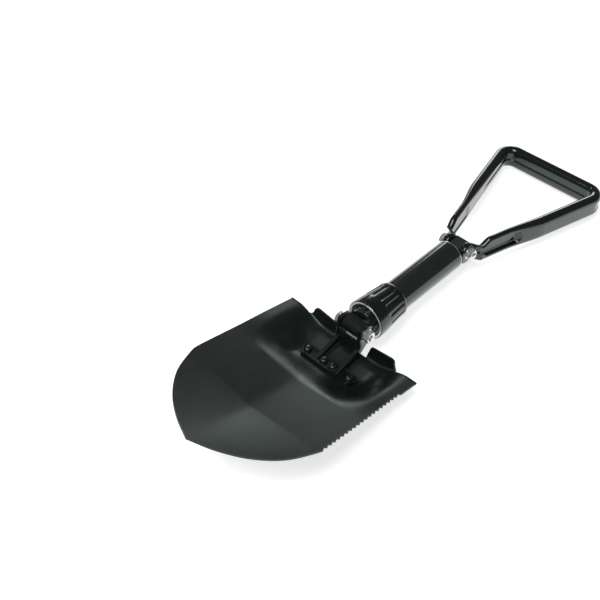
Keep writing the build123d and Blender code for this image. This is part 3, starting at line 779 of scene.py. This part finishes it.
def leg_top(x):
    """Upper edge of the pressed leg, which rises behind the neck."""
    return lerp(NECK_TOP, FLAT_DEPTH / 2, smooth((x - RISE_START) / RISE_RUN))


def leg_rings():
    """Sections of one ear, the crank behind it, and the leg as far as the full bar."""
    rings = []
    for x, inset in ((-9.15, 1.5), (-9.0, 0.8), (-8.6, 0.3), (-8.0, 0), (-7.0, 0), (-5.6, 0),
                     (-4.0, 0), (-2.5, 0), (-1.0, 0), (1.0, 0), (3.0, 0), (4.6, 0), (5.6, 0)):
        top = min(sqrt(EAR_R ** 2 - x * x), NECK_TOP + 1.6 * max(7.0 - x, 0))
        rings.append(pressed_ring((x, HANDLE_EAR_IN + inset), (x, HANDLE_EAR_OUT - inset),
                                  top, ear_bottom(x), 2.0))
    crank = [((7.0, 6.9), (6.4, 13.6), 0), ((7.9, 7.0), (7.0, 14.0), 0),
             ((8.5, 9.0), (7.9, 15.5), 0), ((9.3, 11.4), (8.7, 16.9), 0.4),
             ((10.0, 13.4), (9.7, 18.6), 1.3), ((10.6, 14.9), (10.7, 20.5), 2.2),
             ((11.6, 15.7), (11.7, 22.4), 3.1)]
    for inner, outer, groove in crank:
        rings.append(pressed_ring(inner, outer, NECK_TOP + 0.2, -FLAT_DEPTH / 2, 2.6, groove))
    for x in list(np.arange(13.2, FLAT_END, 1.8)) + list(np.linspace(FLAT_END, TAPER_END, 27)):
        t = min(max((x - FLAT_END) / (TAPER_END - FLAT_END), 0), 1)
        wide = lerp(FLAT_THICK, BAR_W, 0.5 * t + 0.5 * smooth(t))
        tall = lerp(FLAT_DEPTH, BAR_D, t) / 2
        end = max(GROOVE_HALF ** 2 - max(x - GROOVE_END + GROOVE_HALF, 0) ** 2, 0)
        fade = smooth((GROOVE_END + 1 - x) / 7)
        dip = LEG_DIP * smooth((DIP_END - x) / 8) * smooth((x - DIP_START) / 4)
        rings.append(pressed_ring(on_leg(x, 0), on_leg(x, wide), min(leg_top(x), tall), -tall,
                                  lerp(LEG_ROUND, BAR_ROUND, t), (wide - WEB) * fade,
                                  sqrt(end) if end else 0.1, dip, GROOVE_HALF - 0.5))
    return rings


def hoop_rings():
    """The rest of half the bar: the leg's straight run, its bend, and half of the grip."""
    rings = []
    grip_mid = GRIP_OUTER - BAR_W / 2
    first = on_leg(TAPER_END, BAR_W / 2)
    corner = first + leg_way * ((grip_mid - first[0]) / leg_way[0])
    bend = pi / 2 + SPLAY
    start = corner - leg_way * BEND_R * tan(bend / 2)
    centre = start - leg_out * BEND_R
    run = float(np.linalg.norm(start - first))
    path = [(lerp(first, start, t), leg_out, 0.0) for t in np.linspace(2 / run, 1, 16)]
    for t in np.linspace(0, 1, 21)[1:]:
        n = leg_out * cos(bend * t) + leg_way * sin(bend * t)
        path.append((centre + n * BEND_R, n, sin(pi * t)))
    edge = centre[1]
    path += [(np.array([grip_mid, edge * (1 - t)]), np.array([1.0, 0.0]), 0.0)
             for t in np.linspace(0, 1, 14)[1:]]
    for i, (spot, way, pinch) in enumerate(path):
        seam = SEAM_DEPTH * smooth(i / 6)
        rings.append(pressed_ring(spot - way * BAR_W / 2, spot + way * BAR_W / 2, BAR_D / 2,
                                  -BAR_D / 2, BAR_ROUND, PINCH * pinch, PINCH_HALF, seam,
                                  SEAM_HALF))
    return rings


half_rings = leg_rings() + hoop_rings()
other_half = [[(x, -y, z) for x, y, z in ring] for ring in half_rings[-2::-1]]
piece("handle_bar", [tube_of(half_rings + other_half)], HANDLE, "handle", GLOSS,
      ["d_handle"], sharp=50)

# ------------------------------------------------------------------ the collar's bright ring
RING_IN = 17.05
RING_SEAT = COLLAR_FRONT + 1.9
RING_FACE, RING_NOSE = COLLAR_FRONT + 0.5, 0.85   # its front face bulges by RING_NOSE
ring_mid, ring_half = (RING_IN + RING_OUT) / 2, (RING_OUT - RING_IN) / 2 - 0.03
thrust = [(RING_SEAT, ring_mid - ring_half)]
thrust += [(RING_FACE - RING_NOSE * sin(a), ring_mid - ring_half * cos(a))
           for a in np.linspace(0.0, pi, 9)]
thrust += [(RING_SEAT, ring_mid + ring_half), (RING_SEAT, ring_mid - ring_half)]
piece("thrust_ring", [lathe(thrust, "X", 120)], TUBE, "collar_ring", TURNED,
      ["collar_thrust_ring"], sharp=50)

# ------------------------------------------------------------------ CAD nodes that stay
KEPT = {"blade_pivot_washers": ZINC, "handle_pivot_washers": ZINC,
        "knuckle_stop_ring": DARK_STEEL, "knuckle_cross_pin": DARK_STEEL,
        "collar_threaded_insert": DARK_STEEL, "shaft_tube": GLOSS, "tube_end_ring": ZINC,
        "handle_yoke": DARK_STEEL}
for name, material in KEPT.items():
    obj = frame["nodes"][name]
    obj.data.materials.clear()
    obj.data.materials.append(material)
for name, width in (("handle_yoke", 0.7), ("tube_end_ring", 0.2), ("blade_pivot_washers", 0.2),
                    ("handle_pivot_washers", 0.2)):
    bevel(frame["nodes"][name], width, 2, 40)

# ------------------------------------------------------------------ studio
FLOOR_HALF = 6.0
# a little below the resting line: the pocket swings 4.6 mm under it when the blade is straight
FLOOR_Z = -0.0048
floor_mesh = bpy.data.meshes.new("floor")
floor_mesh.from_pydata([(x * FLOOR_HALF, y * FLOOR_HALF, FLOOR_Z)
                        for x, y in ((-1, -1), (1, -1), (1, 1), (-1, 1))], [], [(0, 1, 2, 3)])
floor = bpy.data.objects.new("floor", floor_mesh)
bpy.context.scene.collection.objects.link(floor)
floor_mat, tree, sh = new_material("floor_white")
mottle = ramp(tree, noise(tree, 3, 2), *MIDDLE, 0, 1)
tree.links.new(mix_colour(tree, mottle, (0.95, 0.95, 0.95), (0.93, 0.93, 0.93)),
               sh.inputs["Base Color"])
sh.inputs["Roughness"].default_value = 0.9
sh.inputs["Emission Color"].default_value = (1, 1, 1, 1)
sh.inputs["Emission Strength"].default_value = 0.7
floor_mesh.materials.append(floor_mat)

world = bpy.data.worlds.new("studio")
bpy.context.scene.world = world
world.use_nodes = True
sky = world.node_tree
sky.nodes["Background"].inputs["Color"].default_value = (1, 1, 1, 1)
# seen as white, but giving only a little light
SKY_LIGHT, SKY_SEEN = 0.12, 1.0
rays = sky.nodes.new("ShaderNodeLightPath")
sky.links.new(ramp(sky, rays.outputs["Is Camera Ray"], 0, 1, SKY_LIGHT, SKY_SEEN),
              sky.nodes["Background"].inputs["Strength"])
bpy.context.scene.view_settings.view_transform = "Standard"


def softbox(name, azimuth, elevation, distance, size, radiance):
    """A rectangular lamp of even radiance that looks at the middle of the shovel."""
    a, e = radians(azimuth), radians(elevation)
    place = Vector((cos(e) * cos(a), cos(e) * sin(a), sin(e))) * distance
    lamp = bpy.data.lights.new(name, "AREA")
    lamp.shape = "RECTANGLE"
    lamp.size, lamp.size_y = size
    lamp.energy = radiance * pi * size[0] * size[1]
    obj = bpy.data.objects.new(name, lamp)
    obj.location = place
    obj.rotation_euler = (-place).to_track_quat("-Z", "Y").to_euler()
    bpy.context.scene.collection.objects.link(obj)


softbox("overhead", azimuth=180, elevation=66, distance=2.4, size=(1.3, 1.3), radiance=6.5)
softbox("far_low", azimuth=36, elevation=13, distance=1.9, size=(0.75, 0.6), radiance=4.0)
softbox("left_wall", azimuth=120, elevation=24, distance=1.9, size=(0.9, 0.6), radiance=0.8)
softbox("spark", azimuth=75, elevation=52, distance=1.8, size=(0.2, 0.2), radiance=14.0)

# The camera stands off the toe's left side. Its place is worked out in the tube's own frame,
# in millimetres, from the point of the tube's axis below the blade's pivot.
LENS, SENSOR = 56.9, 36.0
LOOK_DOWN, LOOK_ALONG, ROLL = radians(45.0), radians(46.14), radians(0.34)
REACH, MOVE_LEFT, MOVE_UP = 847.09, 48.13, 25.96
camera = bpy.data.cameras.new("camera")
camera.sensor_width = SENSOR
camera.lens = LENS
cam = bpy.data.objects.new("camera", camera)
bpy.context.scene.collection.objects.link(cam)
bpy.context.scene.camera = cam
up = Vector((0, 0, 1))
ground = Vector((sin(LOOK_ALONG), cos(LOOK_ALONG), 0))
ahead = ground * cos(LOOK_DOWN) - up * sin(LOOK_DOWN)
level, upright = ahead.cross(up).normalized(), ground * sin(LOOK_DOWN) + up * cos(LOOK_DOWN)
right = level * cos(ROLL) + upright * sin(ROLL)
above = upright * cos(ROLL) - level * sin(ROLL)
spot = above * MOVE_UP - right * MOVE_LEFT - ahead * REACH
stand = Matrix((right, above, -ahead)).transposed().to_4x4()
stand.translation = spot * 0.001
lean = Matrix.Translation(BLADE_PIVOT) @ Matrix.Rotation(LEAN, 4, "Y")
cam.matrix_world = lean @ Matrix.Translation((0, 0, -PIVOT_RISE * 0.001)) @ stand
